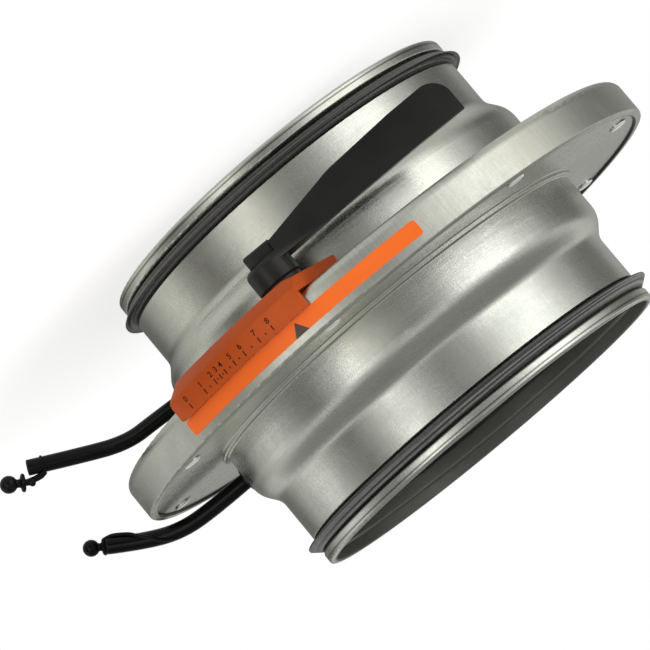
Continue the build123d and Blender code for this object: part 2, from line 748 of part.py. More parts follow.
def fitted_plug(path):
    """Plug pushed into the end of a tube, with its strap along the last run."""
    return tube_end(path) * (plug() + strap(PLUG_COLLAR, FITTED_STRAP_TURN))


def hanging_plug(path):
    """Plug left out above the open end, held by its strap."""
    spare = Pos(SPARE_PLUG_OFFSET, 0, SPARE_PLUG_REACH) * plug()
    return tube_end(path) * (spare + strap(SPARE_PLUG_REACH + PLUG_COLLAR, 0))


def save_parts():
    os.makedirs("parts", exist_ok=True)
    write(lower_casing(), "lower_casing")
    write(upper_casing(), "upper_casing")
    write(duct_seal(), "upper_seal")
    write(mirror(duct_seal(), Plane.XY), "lower_seal")
    write(control_ring(), "control_ring")
    write(Compound([around(guide_shoe(), b - 90) for b in shoe_bearings()]), "guide_shoes")
    rivets = [place(PIVOT_R, pivot) * pivot_rivet() for pivot in pivot_bearings()]
    write(Compound(rivets), "pivot_rivets")
    one_blade = blade()
    one_pin = drive_pin()
    for number, pivot in enumerate(pivot_bearings(), start=1):
        write(closed_blade(one_blade, pivot), f"blade_{number}")
        write(closed_blade(one_pin, pivot), f"drive_pin_{number}")
    write(scale_bracket(), "scale_bracket")
    write(clamp_bolt(), "clamp_bolt")
    write(clamp_washer(), "clamp_washer")
    write(lock_lever(), "lock_lever")
    write(lever_nut(), "lever_nut")
    write(pointer_label(), "pointer_label")
    write(nipple(UPPER_BEARING, NIPPLE_HEIGHT), "upper_nipple")
    write(nipple(LOWER_BEARING, -NIPPLE_HEIGHT), "lower_nipple")
    upper = tube_path(route_points(UPPER_ROUTE, UPPER_BEARING, NIPPLE_HEIGHT), "upper_tube")
    lower = tube_path(route_points(LOWER_ROUTE, LOWER_BEARING, -NIPPLE_HEIGHT), "lower_tube")
    write(tube(upper, "upper_tube"), "upper_tube")
    write(tube(lower, "lower_tube"), "lower_tube")
    write(fitted_plug(upper), "upper_plug")
    write(hanging_plug(lower), "lower_plug")


save_parts()
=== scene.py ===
import bpy
import math
from mathutils import Matrix, Vector


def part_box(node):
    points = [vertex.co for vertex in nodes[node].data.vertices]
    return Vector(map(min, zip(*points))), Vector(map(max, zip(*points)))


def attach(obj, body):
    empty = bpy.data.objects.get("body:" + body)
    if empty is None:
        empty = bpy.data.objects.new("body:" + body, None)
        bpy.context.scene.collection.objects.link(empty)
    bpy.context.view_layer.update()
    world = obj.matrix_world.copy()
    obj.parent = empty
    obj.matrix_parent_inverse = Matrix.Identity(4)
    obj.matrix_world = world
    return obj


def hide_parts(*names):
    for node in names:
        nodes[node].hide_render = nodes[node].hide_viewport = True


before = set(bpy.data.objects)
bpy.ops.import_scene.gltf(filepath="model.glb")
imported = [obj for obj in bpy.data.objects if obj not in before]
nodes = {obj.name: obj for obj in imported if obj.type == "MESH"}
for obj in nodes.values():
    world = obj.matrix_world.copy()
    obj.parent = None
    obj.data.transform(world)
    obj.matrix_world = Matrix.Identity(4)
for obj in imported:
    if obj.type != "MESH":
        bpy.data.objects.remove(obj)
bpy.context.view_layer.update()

mm = 0.001
midHeight = 50.5 * mm  # middle of the drum above the lower rim
drumRadius = 95.5 * mm


def deselectAll():
    if bpy.context.object and bpy.context.object.mode != "OBJECT":
        bpy.ops.object.mode_set(mode="OBJECT")
    bpy.ops.object.select_all(action="DESELECT")


def makeActive(piece):
    deselectAll()
    piece.select_set(True)
    bpy.context.view_layer.objects.active = piece


def applyPlace(piece):
    makeActive(piece)
    bpy.ops.object.transform_apply(location=True, rotation=True, scale=True)


def bearingPoint(radius, bearing, height=0.0):
    turn = math.radians(bearing)
    return Vector((radius * math.sin(turn), -radius * math.cos(turn), height))


def finishPiece(piece, name, material, body, slot, *replaced):
    piece.name = name
    piece.data.name = name
    piece.data.materials.clear()
    piece.data.materials.append(material)
    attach(piece, body)
    if replaced:
        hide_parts(*replaced)
    return piece


def joinPieces(pieces):
    deselectAll()
    for piece in pieces:
        piece.select_set(True)
    bpy.context.view_layer.objects.active = pieces[0]
    if len(pieces) > 1:
        bpy.ops.object.join()
    return bpy.context.view_layer.objects.active


def newGroup(name, inputs, outputs):
    group = bpy.data.node_groups.new(name, "ShaderNodeTree")
    for label, kind, value in inputs:
        socket = group.interface.new_socket(label, in_out="INPUT", socket_type=kind)
        if value is not None:
            socket.default_value = value
    for label, kind in outputs:
        group.interface.new_socket(label, in_out="OUTPUT", socket_type=kind)
    start = group.nodes.new("NodeGroupInput")
    end = group.nodes.new("NodeGroupOutput")
    return group, start, end


def addNode(tree, kind, **settings):
    node = tree.nodes.new(kind)
    for key, value in settings.items():
        setattr(node, key, value)
    return node


def mathNode(tree, operation, first, second=None, clamp=False):
    node = addNode(tree, "ShaderNodeMath", operation=operation, use_clamp=clamp)
    for index, value in enumerate((first, second)):
        if value is None:
            continue
        if isinstance(value, (int, float)):
            node.inputs[index].default_value = value
        else:
            tree.links.new(value, node.inputs[index])
    return node.outputs[0]


def mapRange(tree, value, low, high, outLow=0.0, outHigh=1.0, smooth=True):
    node = addNode(tree, "ShaderNodeMapRange", interpolation_type="SMOOTHSTEP" if smooth else "LINEAR")
    tree.links.new(value, node.inputs["Value"])
    for label, number in (("From Min", low), ("From Max", high), ("To Min", outLow), ("To Max", outHigh)):
        node.inputs[label].default_value = number
    return node.outputs["Result"]


def noiseNode(tree, vector, scale, detail=3.0, roughness=0.55):
    node = addNode(tree, "ShaderNodeTexNoise")
    node.inputs["Scale"].default_value = scale
    node.inputs["Detail"].default_value = detail
    node.inputs["Roughness"].default_value = roughness
    tree.links.new(vector, node.inputs["Vector"])
    return node.outputs["Fac"]


def buildRoundPlaceGroup():
    # radius, bearing times drum radius, and height of a point on a turned part
    group, start, end = newGroup("roundPlace", [("Place", "NodeSocketVector", None)],
                                 [("Radius", "NodeSocketFloat"), ("Along", "NodeSocketFloat"),
                                  ("Height", "NodeSocketFloat")])
    split = addNode(group, "ShaderNodeSeparateXYZ")
    group.links.new(start.outputs["Place"], split.inputs[0])
    x, y, z = split.outputs
    square = mathNode(group, "ADD", mathNode(group, "MULTIPLY", x, x), mathNode(group, "MULTIPLY", y, y))
    group.links.new(mathNode(group, "SQRT", square), end.inputs["Radius"])
    turn = mathNode(group, "ARCTAN2", y, x)
    group.links.new(mathNode(group, "MULTIPLY", turn, drumRadius), end.inputs["Along"])
    group.links.new(z, end.inputs["Height"])
    return group


def buildStreakGroup():
    # fine lines that run along one direction: stretch tells how long they are
    group, start, end = newGroup("fineLines",
                                 [("Across", "NodeSocketFloat", 0.0), ("Along", "NodeSocketFloat", 0.0),
                                  ("Density", "NodeSocketFloat", 900.0), ("Stretch", "NodeSocketFloat", 0.02)],
                                 [("Lines", "NodeSocketFloat")])
    across = mathNode(group, "MULTIPLY", start.outputs["Across"], start.outputs["Density"])
    along = mathNode(group, "MULTIPLY", start.outputs["Along"], start.outputs["Density"])
    along = mathNode(group, "MULTIPLY", along, start.outputs["Stretch"])
    join = addNode(group, "ShaderNodeCombineXYZ")
    group.links.new(across, join.inputs[0])
    group.links.new(along, join.inputs[1])
    group.links.new(noiseNode(group, join.outputs[0], 1.0, 4.0, 0.65), end.inputs["Lines"])
    return group


roundPlaceGroup = buildRoundPlaceGroup()
fineLinesGroup = buildStreakGroup()


def useGroup(tree, group, **values):
    node = addNode(tree, "ShaderNodeGroup", node_tree=group)
    for label, value in values.items():
        if isinstance(value, (int, float)):
            node.inputs[label].default_value = value
        else:
            tree.links.new(value, node.inputs[label])
    return node


def newMaterial(name, color, metallic, roughness, specular=0.5):
    material = bpy.data.materials.new(name)
    material.use_nodes = True
    tree = material.node_tree
    shader = tree.nodes["Principled BSDF"]
    shader.inputs["Base Color"].default_value = (*color, 1.0)
    shader.inputs["Metallic"].default_value = metallic
    shader.inputs["Roughness"].default_value = roughness
    shader.inputs["Specular IOR Level"].default_value = specular
    place = addNode(tree, "ShaderNodeTexCoord").outputs["Object"]
    return material, tree, shader, place


def valueMix(tree, factor, first, second):
    node = addNode(tree, "ShaderNodeMix", data_type="FLOAT")
    for socket, value in ((node.inputs[0], factor), (node.inputs[2], first), (node.inputs[3], second)):
        if isinstance(value, (int, float)):
            socket.default_value = value
        else:
            tree.links.new(value, socket)
    return node.outputs[0]


def colorMix(tree, factor, first, second):
    node = addNode(tree, "ShaderNodeMix", data_type="RGBA")
    for socket, value in ((node.inputs[0], factor), (node.inputs[6], first), (node.inputs[7], second)):
        if isinstance(value, (int, float)):
            socket.default_value = value
        elif isinstance(value, tuple):
            socket.default_value = (*value, 1.0)
        else:
            tree.links.new(value, socket)
    return node.outputs[2]


def tint(tree, base, mask, share, color):
    # the colour lies over the base where the mask is, at most by the share given
    return colorMix(tree, mathNode(tree, "MULTIPLY", mask, share), base, color)


def addShares(tree, start, *parts):
    total = start
    for value, share in parts:
        total = mathNode(tree, "ADD", total, mathNode(tree, "MULTIPLY", value, share))
    return total


def addBump(tree, shader, height, strength, distance):
    bump = addNode(tree, "ShaderNodeBump")
    bump.inputs["Strength"].default_value = strength
    bump.inputs["Distance"].default_value = distance
    tree.links.new(height, bump.inputs["Height"])
    tree.links.new(bump.outputs["Normal"], shader.inputs["Normal"])


steelLook = {
    "light": (0.665, 0.68, 0.635),
    "dark": (0.43, 0.445, 0.40),
    "warm": (0.60, 0.60, 0.50),
    # painted shade inside the duct, near the ends and deeper in
    "inside": (0.17, 0.172, 0.155),
    "deepInsideShade": (0.045, 0.046, 0.042),
    # colour of the painted shade: in the lip's gap, round the rivets, under the rolled ends and on the rivet
    # heads' feet
    "paintedShade": (0.035, 0.035, 0.032),
    # scale, detail and roughness of the noise, and the range of it that counts
    "clouds": (46.0, 5.0, 0.62),
    "cloudRange": (0.3, 0.72),
    "broadClouds": (14.0, 3.0, 0.55),
    "warmRange": (0.4, 0.66),
    "specks": (2600.0, 2.0, 0.7),  # of the zinc
    "speckRange": (0.36, 0.66),
    "spunLines": {"Density": 1500.0, "Stretch": 0.012},
    "drawnLines": {"Density": 1000.0, "Stretch": 0.04},
    "lineRange": (0.34, 0.68),
    "waves": {"Density": 170.0, "Stretch": 0.09},
    # how far each effect tints the sheet
    "cloudShare": 0.42,
    "lineShares": (0.34, 0.5),  # on spun sheet and on the drum's wall
    "speckShare": 0.34,
    "warmShare": 0.5,
    "gapShadeShare": 0.92,
    "rivetShadeShare": 0.8,
    "hemShare": 0.7,
    "ductShadeShare": 0.92,
    # what each effect adds to the roughness and to the relief
    "rough": 0.21,
    "roughShares": {"cloud": 0.10, "speck": 0.06, "drum": 0.10, "duct": 0.2},
    "reliefShares": {"broad": 8.0, "cloud": 7.0, "wave": 6.0, "speck": 0.35},
    "bump": 0.16,
    "bumpDepth": 0.12 * mm,
}

# where effects start and where they are full, or the lower and upper side of a band
steelPlaces = {
    "drumWall": (90.5 * mm, 93.5 * mm),
    "plate": (54.5 * mm, 55.0 * mm),  # height of the cover plate
    "lipSeam": (92.4 * mm, 93.0 * mm),  # painted shade in the gap inside the curled lip
    "seamSoft": 0.2 * mm,
    "rivetShadeRing": (3.7 * mm, 2.9 * mm),  # distance from a rivet, for the painted contact shade round it
    "ductWall": (61.2 * mm, 60.4 * mm),
    "hem": (48.9 * mm, 49.1 * mm),  # painted shade line under the rolled end, from the drum's middle
    "hemSoft": 0.3 * mm,
    "hemSide": (62.0 * mm, 62.1 * mm),
    "depth": (50.0 * mm, 36.0 * mm),  # from the drum's middle, along the duct
}

rivetLook = {
    "count": 8,
    "bearing": 10.9,
    "circle": 88.0 * mm,
    "foot": 55.86 * mm,  # on the upper casing's plate
    # painted shade on the rivet heads up to this height above their foot, under the rim
    "footShadeHeight": 0.34 * mm,
    # height and radius of each ring, in mm
    "rings": [(0.0, 2.3), (0.2, 2.5), (0.36, 2.74), (0.56, 2.76), (0.76, 2.6), (0.92, 2.1), (1.02, 1.4),
              (1.06, 0.4)],
    "sides": 32,
}


def bandMask(tree, value, low, high, soft):
    rise = mapRange(tree, value, low - soft, low)
    return mathNode(tree, "MULTIPLY", rise, mapRange(tree, value, high + soft, high))


def rivetDistance(tree, radius, along):
    # distance to the nearest of the pivot rivets
    turn = mathNode(tree, "DIVIDE", along, drumRadius)
    turn = mathNode(tree, "SUBTRACT", turn, math.radians(rivetLook["bearing"]))
    turn = mathNode(tree, "PINGPONG", turn, math.radians(180.0 / rivetLook["count"]))
    sideways = mathNode(tree, "MULTIPLY", turn, rivetLook["circle"])
    outwards = mathNode(tree, "SUBTRACT", radius, rivetLook["circle"])
    square = mathNode(tree, "ADD", mathNode(tree, "MULTIPLY", sideways, sideways),
                      mathNode(tree, "MULTIPLY", outwards, outwards))
    return mathNode(tree, "SQRT", square)


def galvanisedSteel(name):
    look, places = steelLook, steelPlaces
    material, tree, shader, place = newMaterial(name, look["light"], 1.0, look["rough"])
    radius, along, height = useGroup(tree, roundPlaceGroup, Place=place).outputs
    profile = mathNode(tree, "ADD", radius, height)
    fromMiddle = mathNode(tree, "ABSOLUTE", mathNode(tree, "SUBTRACT", height, midHeight))

    # lines of spinning on the spigots and plates, and of drawing on the drum's wall
    drumMask = mapRange(tree, radius, *places["drumWall"])
    spun = useGroup(tree, fineLinesGroup, Across=profile, Along=along, **look["spunLines"]).outputs[0]
    drawn = useGroup(tree, fineLinesGroup, Across=along, Along=height, **look["drawnLines"]).outputs[0]
    lines = valueMix(tree, mapRange(tree, drumMask, 0.0, 1.0, 0.5, 1.0), spun, drawn)
    waves = useGroup(tree, fineLinesGroup, Across=profile, Along=along, **look["waves"]).outputs[0]

    cloud = noiseNode(tree, place, *look["clouds"])
    broad = noiseNode(tree, place, *look["broadClouds"])
    specks = noiseNode(tree, place, *look["specks"])
    tone = mapRange(tree, cloud, *look["cloudRange"])
    streak = mapRange(tree, lines, *look["lineRange"])
    speckle = mapRange(tree, specks, *look["speckRange"])
    warm = mapRange(tree, broad, *look["warmRange"])
    lineShare = mapRange(tree, drumMask, 0.0, 1.0, *look["lineShares"])
    base = tint(tree, look["light"], tone, look["cloudShare"], look["dark"])
    base = tint(tree, base, streak, lineShare, look["dark"])
    base = tint(tree, base, speckle, look["speckShare"], look["dark"])
    base = tint(tree, base, warm, look["warmShare"], look["warm"])

    # painted shade in the lip's gap, painted contact shade round the rivets and a painted shade line under the
    # rolled ends
    upperSide = mapRange(tree, height, *places["plate"])
    # painted shade in the gap inside the curled lip, on the upper side only
    paintedShade = bandMask(tree, radius, *places["lipSeam"], places["seamSoft"])
    paintedShade = mathNode(tree, "MULTIPLY", paintedShade, upperSide)
    base = tint(tree, base, paintedShade, look["gapShadeShare"], look["paintedShade"])
    # painted contact shade in a ring round each rivet head
    rivetContactShade = mapRange(tree, rivetDistance(tree, radius, along), *places["rivetShadeRing"])
    rivetContactShade = mathNode(tree, "MULTIPLY", rivetContactShade, upperSide)
    base = tint(tree, base, rivetContactShade, look["rivetShadeShare"], look["paintedShade"])
    # painted shade line under each rolled end, on the outside only
    hem = bandMask(tree, fromMiddle, *places["hem"], places["hemSoft"])
    hem = mathNode(tree, "MULTIPLY", hem, mapRange(tree, radius, *places["hemSide"]))
    base = tint(tree, base, hem, look["hemShare"], look["paintedShade"])

    # rougher inside the duct, with painted shade that darkens with depth
    duct = mapRange(tree, radius, *places["ductWall"])
    ductShadeTone = colorMix(tree, mapRange(tree, fromMiddle, *places["depth"]), look["inside"], look["deepInsideShade"])
    base = tint(tree, base, duct, look["ductShadeShare"], ductShadeTone)
    tree.links.new(base, shader.inputs["Base Color"])

    share = look["roughShares"]
    rough = addShares(tree, look["rough"], (tone, share["cloud"]), (speckle, share["speck"]),
                      (drumMask, share["drum"]), (duct, share["duct"]))
    tree.links.new(rough, shader.inputs["Roughness"])
    share = look["reliefShares"]
    relief = addShares(tree, lines, (broad, share["broad"]), (cloud, share["cloud"]), (waves, share["wave"]),
                       (speckle, share["speck"]))
    addBump(tree, shader, relief, look["bump"], look["bumpDepth"])
    return material


sheetLook = {
    "clouds": (30.0, 3.0, 0.6),
    "cloudRange": (0.3, 0.7),
    "cloudShare": 0.5,
    "darker": 0.72,
    "grain": (900.0, 2.0, 0.5),
    "footShadeShare": 0.9,
    "footSoft": 0.1 * mm,
    "roughRange": (0.2, 0.8),
    "roughSpread": (-0.06, 0.12),
    "bump": 0.15,
    "bumpDepth": 0.1 * mm,
}


def plainSheetSteel(name, color, roughness, metallic=1.0, shadeBelow=None):
    look = sheetLook
    material, tree, shader, place = newMaterial(name, color, metallic, roughness)
    grain = noiseNode(tree, place, *look["grain"])
    cloud = noiseNode(tree, place, *look["clouds"])
    darker = tuple(look["darker"] * part for part in color)
    base = tint(tree, color, mapRange(tree, cloud, *look["cloudRange"]), look["cloudShare"], darker)
    # painted shade on the lowest part of the piece
    if shadeBelow:
        height = useGroup(tree, roundPlaceGroup, Place=place).outputs["Height"]
        foot = mapRange(tree, height, shadeBelow + look["footSoft"], shadeBelow - look["footSoft"])
        base = tint(tree, base, foot, look["footShadeShare"], steelLook["paintedShade"])
    tree.links.new(base, shader.inputs["Base Color"])
    rougher = [roughness + part for part in look["roughSpread"]]
    tree.links.new(mapRange(tree, cloud, *look["roughRange"], *rougher), shader.inputs["Roughness"])
    addBump(tree, shader, grain, look["bump"], look["bumpDepth"])
    return material


plasticLook = {
    "clouds": (24.0, 3.0, 0.6),
    "cloudRange": (0.3, 0.7),
    "lift": 0.004,
    "grainDetail": 2.0,
    "grainRoughness": 0.6,
    "roughRange": (0.25, 0.75),
    "roughSpread": (-0.07, 0.08),
    "bumpDepth": 0.12 * mm,
}


def mouldedPlastic(name, color, roughness, grainScale, bump, wear, specular):
    look = plasticLook
    material, tree, shader, place = newMaterial(name, color, 0.0, roughness, specular)
    cloud = noiseNode(tree, place, *look["clouds"])
    grain = noiseNode(tree, place, grainScale, look["grainDetail"], look["grainRoughness"])
    darker = tuple((1 - wear) * part for part in color)
    lighter = tuple(min(1.0, (1 + wear) * part + look["lift"]) for part in color)
    base = colorMix(tree, mapRange(tree, cloud, *look["cloudRange"]), darker, lighter)
    tree.links.new(base, shader.inputs["Base Color"])
    rougher = [roughness + part for part in look["roughSpread"]]
    tree.links.new(mapRange(tree, cloud, *look["roughRange"], *rougher), shader.inputs["Roughness"])
    addBump(tree, shader, grain, bump, look["bumpDepth"])
    return material


sealLook = {
    "light": (0.19, 0.194, 0.186),
    "dark": (0.018, 0.018, 0.018),
    "dust": (900.0, 3.0, 0.7),
    "dustRange": (0.4, 0.7),
    "dustShare": 0.35,
    "rough": 0.4,
    "roughRange": (0.2, 0.8),
    "roughSpread": (-0.08, 0.12),
    "specular": 0.45,
    "rings": {"Density": 620.0, "Stretch": 0.006},  # fine moulded rings, in the relief and as painted shade lines in the colour
    "ringRange": (0.38, 0.6),
    "lean": 1.7,  # keeps the rings on the leaning lips
    "bump": 0.5,
    "bumpDepth": 0.15 * mm,
}


def ribbedRubber(name):
    look = sealLook
    material, tree, shader, place = newMaterial(name, look["light"], 0.0, look["rough"], look["specular"])
    radius, along, height = useGroup(tree, roundPlaceGroup, Place=place).outputs
    fromMiddle = mathNode(tree, "ABSOLUTE", mathNode(tree, "SUBTRACT", height, midHeight))
    across = mathNode(tree, "SUBTRACT", radius, mathNode(tree, "MULTIPLY", fromMiddle, look["lean"]))
    rings = useGroup(tree, fineLinesGroup, Across=across, Along=along, **look["rings"]).outputs[0]
    dust = noiseNode(tree, place, *look["dust"])
    # the rings' grooves take the dark colour as painted shade
    base = colorMix(tree, mapRange(tree, rings, *look["ringRange"]), look["dark"], look["light"])
    base = tint(tree, base, mapRange(tree, dust, *look["dustRange"]), look["dustShare"], look["dark"])
    tree.links.new(base, shader.inputs["Base Color"])
    rougher = [look["rough"] + part for part in look["roughSpread"]]
    tree.links.new(mapRange(tree, dust, *look["roughRange"], *rougher), shader.inputs["Roughness"])
    addBump(tree, shader, rings, look["bump"], look["bumpDepth"])
    return material


galvanised = galvanisedSteel("galvanisedSheet")
ringSteel = plainSheetSteel("controlRingSheet", (0.6, 0.61, 0.6), 0.38)
bladeSteel = plainSheetSteel("bladeSheet", (0.58, 0.59, 0.58), 0.32)
rivetSteel = plainSheetSteel("rivetZinc", (0.80, 0.80, 0.78), 0.16)
headSteel = plainSheetSteel("rivetHeadZinc", (0.86, 0.86, 0.84), 0.2, 0.55,
                            rivetLook["foot"] + rivetLook["footShadeHeight"])
boltSteel = plainSheetSteel("boltZinc", (0.68, 0.67, 0.63), 0.3)
sealRubber = ribbedRubber("sealRubber")
# colour, roughness, grain per metre, bump, wear and specular level
tubeRubber = mouldedPlastic("tubeRubber", (0.0012, 0.0012, 0.0014), 0.19, 350.0, 0.1, 0.12, 0.15)
nylonWhite = mouldedPlastic("shoeNylon", (0.78, 0.76, 0.70), 0.45, 600.0, 0.1, 0.12, 0.5)
nipplePlastic = mouldedPlastic("nippleBlack", (0.008, 0.008, 0.009), 0.4, 400.0, 0.1, 0.12, 0.3)
stickerFilm = mouldedPlastic("stickerFilm", (0.90, 0.148, 0.006), 0.36, 700.0, 0.04, 0.04, 0.3)
bracketOrange = mouldedPlastic("bracketOrange", (0.455, 0.066, 0.003), 0.3, 500.0, 0.08, 0.09, 0.2)
leverBlack = mouldedPlastic("leverBlack", (0.0145, 0.0142, 0.014), 0.3, 420.0, 0.2, 0.12, 0.24)
printBlack = mouldedPlastic("printBlack", (0.016, 0.007, 0.004), 0.5, 600.0, 0.02, 0.12, 0.12)
pointerGrey = mouldedPlastic("pointerGrey", (0.075, 0.055, 0.043), 0.45, 600.0, 0.02, 0.12, 0.25)
print("materials ready")


nodeFinish = {
    "lower_casing": galvanised,
    "upper_casing": galvanised,
    "control_ring": ringSteel,
    "pivot_rivets": rivetSteel,
    "clamp_bolt": boltSteel,
    "clamp_washer": leverBlack,
    "lever_nut": leverBlack,
    "upper_seal": sealRubber,
    "lower_seal": sealRubber,
    "guide_shoes": nylonWhite,
    "upper_nipple": nipplePlastic,
    "lower_nipple": nipplePlastic,
    "pointer_label": stickerFilm,
    "scale_bracket": bracketOrange,
    "lock_lever": leverBlack,
    "upper_tube": tubeRubber,
    "lower_tube": tubeRubber,
    "upper_plug": tubeRubber,
    "lower_plug": tubeRubber,
}
for index in range(1, rivetLook["count"] + 1):
    nodeFinish[f"blade_{index}"] = bladeSteel
    nodeFinish[f"drive_pin_{index}"] = rivetSteel
for nodeName, material in nodeFinish.items():
    mesh = nodes[nodeName].data
    mesh.materials.clear()
    mesh.materials.append(material)
print("CAD nodes dressed")


edgeLook = {
    "weld": 0.01 * mm,
    "flatWithin": 0.6,  # faces that turn less than this are one face
    "sharpOver": 30.0,
    "smoothUnder": 32.0,
    "turnedSmoothUnder": 50.0,
}


def softenedCopy(nodeName, name, width, segments, material, body, slot, reshape=None):
    # the CAD shape with its sharp edges rounded
    piece = bpy.data.objects.new(name, nodes[nodeName].data.copy())
    bpy.context.scene.collection.objects.link(piece)
    makeActive(piece)
    bpy.ops.object.mode_set(mode="EDIT")
    bpy.ops.mesh.select_all(action="SELECT")
    bpy.ops.mesh.remove_doubles(threshold=edgeLook["weld"])
    bpy.ops.mesh.dissolve_limited(angle_limit=math.radians(edgeLook["flatWithin"]))
    bpy.ops.object.mode_set(mode="OBJECT")
    if reshape:
        reshape(piece)
    bevel = piece.modifiers.new("edges", "BEVEL")
    bevel.width = width
    bevel.segments = segments
    bevel.limit_method = "ANGLE"
    bevel.angle_limit = math.radians(edgeLook["sharpOver"])
    bpy.ops.object.modifier_apply(modifier="edges")
    bpy.ops.object.shade_smooth_by_angle(angle=math.radians(edgeLook["smoothUnder"]))
    return finishPiece(piece, name, material, body, slot, nodeName)


def editVertices(piece, chosen):
    # edit mode with only the chosen vertices selected
    bpy.ops.object.mode_set(mode="EDIT")
    bpy.ops.mesh.select_all(action="DESELECT")
    bpy.ops.object.mode_set(mode="OBJECT")
    for vertex in piece.data.vertices:
        vertex.select = chosen(vertex.co)
    bpy.ops.object.mode_set(mode="EDIT")


bracketLook = {
    "edge": 0.3 * mm,
    "faceFrom": midHeight - 3.0 * mm,
    "faceRise": 0.5 * mm,  # the face's upper edge reaches the pointer label
    "underside": midHeight - 11.9 * mm,
    "wingBand": 2.9 * mm,
    "wingRadius": 90 * mm,
    "wingShare": 0.5,  # the wing's end is deeper
}


def fitBracket(piece):
    look = bracketLook
    editVertices(piece, lambda place: place.z > look["faceFrom"])
    bpy.ops.transform.translate(value=(0, 0, look["faceRise"]))
    wingTop = look["underside"] + look["wingBand"]
    editVertices(piece, lambda place: place.z < wingTop and math.hypot(place.x, place.y) < look["wingRadius"])
    bpy.ops.transform.resize(value=(1.0, 1.0, look["wingShare"]), center_override=(0, 0, look["underside"]))
    bpy.ops.object.mode_set(mode="OBJECT")


nutLook = {
    "edge": 0.35 * mm,
    "grow": (1.09, 1.0, 1.2),  # from its upper right side
}


def widenNut(piece):
    # the nut fills the lever's recess and stands a little lower
    low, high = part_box("lever_nut")
    bpy.ops.object.mode_set(mode="EDIT")
    bpy.ops.mesh.select_all(action="SELECT")
    fixedPoint = (high[0], (low[1] + high[1]) / 2, high[2])
    bpy.ops.transform.resize(value=nutLook["grow"], center_override=fixedPoint)
    bpy.ops.object.mode_set(mode="OBJECT")


leverLook = {"edge": 0.5 * mm}

softenedCopy("scale_bracket", "scaleBracketBody", bracketLook["edge"], 2, bracketOrange, "control",
             "orange_plastic", fitBracket)
softenedCopy("lock_lever", "leverBody", leverLook["edge"], 3, leverBlack, "lever", "black_plastic")
softenedCopy("lever_nut", "leverNutBody", nutLook["edge"], 2, leverBlack, "lever", "black_plastic", widenNut)
print("lever and bracket ready")


scaleLook = {
    "faceRadius": 98.2 * mm,
    "marks": [38.9, 34.6, 31.8, 30.4, 29.1, 26.8, 24.3, 20.8, 17.7],  # bearings of 0 to 8
    "dots": [33.2, 31.1, 29.75, 27.95, 25.55, 22.55, 19.25],
    "tickTop": -2.6 * mm,
    "tickLength": 1.7 * mm,
    "tickWidth": 0.34 * mm,
    "dotLength": 0.55 * mm,
    "digitHeight": -5.9 * mm,
    "digitSize": 2.5 * mm,
    "digitBold": 0.02 * mm,
    "ink": 0.03 * mm,
}


def facePlace(radius, bearing, height, upsideDown):
    # frame on a round wall: X along the wall, Y up or down, Z outwards
    turn = math.radians(bearing)
    outward = Vector((math.sin(turn), -math.cos(turn), 0))
    along = Vector((math.cos(turn), math.sin(turn), 0))
    up = Vector((0, 0, 1))
    if upsideDown:
        along, up = -along, -up
    place = Matrix((along, up, outward)).transposed().to_4x4()
    place.translation = outward * radius + Vector((0, 0, midHeight + height))
    return place


def addDigit(text, bearing):
    bpy.ops.object.text_add()
    digit = bpy.context.object
    digit.data.body = text
    digit.data.size = scaleLook["digitSize"]
    digit.data.align_x = "CENTER"
    digit.data.align_y = "CENTER"
    digit.data.extrude = scaleLook["ink"] / 2
    digit.data.offset = scaleLook["digitBold"]
    bpy.ops.object.convert(target="MESH")
    inkRadius = scaleLook["faceRadius"] + scaleLook["ink"] / 2
    digit.matrix_world = facePlace(inkRadius, bearing, scaleLook["digitHeight"], True)
    applyPlace(digit)
    return digit


def addTick(bearing, top, length):
    bpy.ops.mesh.primitive_cube_add(size=1.0)
    tick = bpy.context.object
    tick.scale = (scaleLook["tickWidth"], length, scaleLook["ink"])
    applyPlace(tick)
    inkRadius = scaleLook["faceRadius"] + scaleLook["ink"] / 2
    tick.matrix_world = facePlace(inkRadius, bearing, top - length / 2, False)
    applyPlace(tick)
    return tick


prints = []
for value, bearing in enumerate(scaleLook["marks"]):
    prints.append(addDigit(str(value), bearing))
    prints.append(addTick(bearing, scaleLook["tickTop"], scaleLook["tickLength"]))
for bearing in scaleLook["dots"]:
    middle = scaleLook["tickTop"] - scaleLook["tickLength"] / 2 + scaleLook["dotLength"] / 2
    prints.append(addTick(bearing, middle, scaleLook["dotLength"]))
finishPiece(joinPieces(prints), "scalePrint", printBlack, "control", "black_plastic")

pointerLook = {
    "bearing": 14.75,
    "width": 4.9 * mm,
    "drop": 3.9 * mm,
    "top": 3.2 * mm,
    "radius": 95.76 * mm,
    "ink": 0.03 * mm,
}
bpy.ops.mesh.primitive_plane_add(size=1.0)
pointer = bpy.context.object
editVertices(pointer, lambda place: place.y < 0)
bpy.ops.mesh.merge(type="CENTER")
bpy.ops.object.mode_set(mode="OBJECT")
pointer.scale = (pointerLook["width"], pointerLook["drop"], 1.0)
applyPlace(pointer)
pointer.matrix_world = facePlace(pointerLook["radius"], pointerLook["bearing"],
                                 pointerLook["top"] - pointerLook["drop"] / 2, False)
applyPlace(pointer)
ink = pointer.modifiers.new("ink", "SOLIDIFY")
ink.thickness = pointerLook["ink"]
ink.offset = 0.0
bpy.ops.object.modifier_apply(modifier="ink")
finishPiece(pointer, "pointerMark", pointerGrey, "casing", "black_plastic")
print("scale and pointer ready")


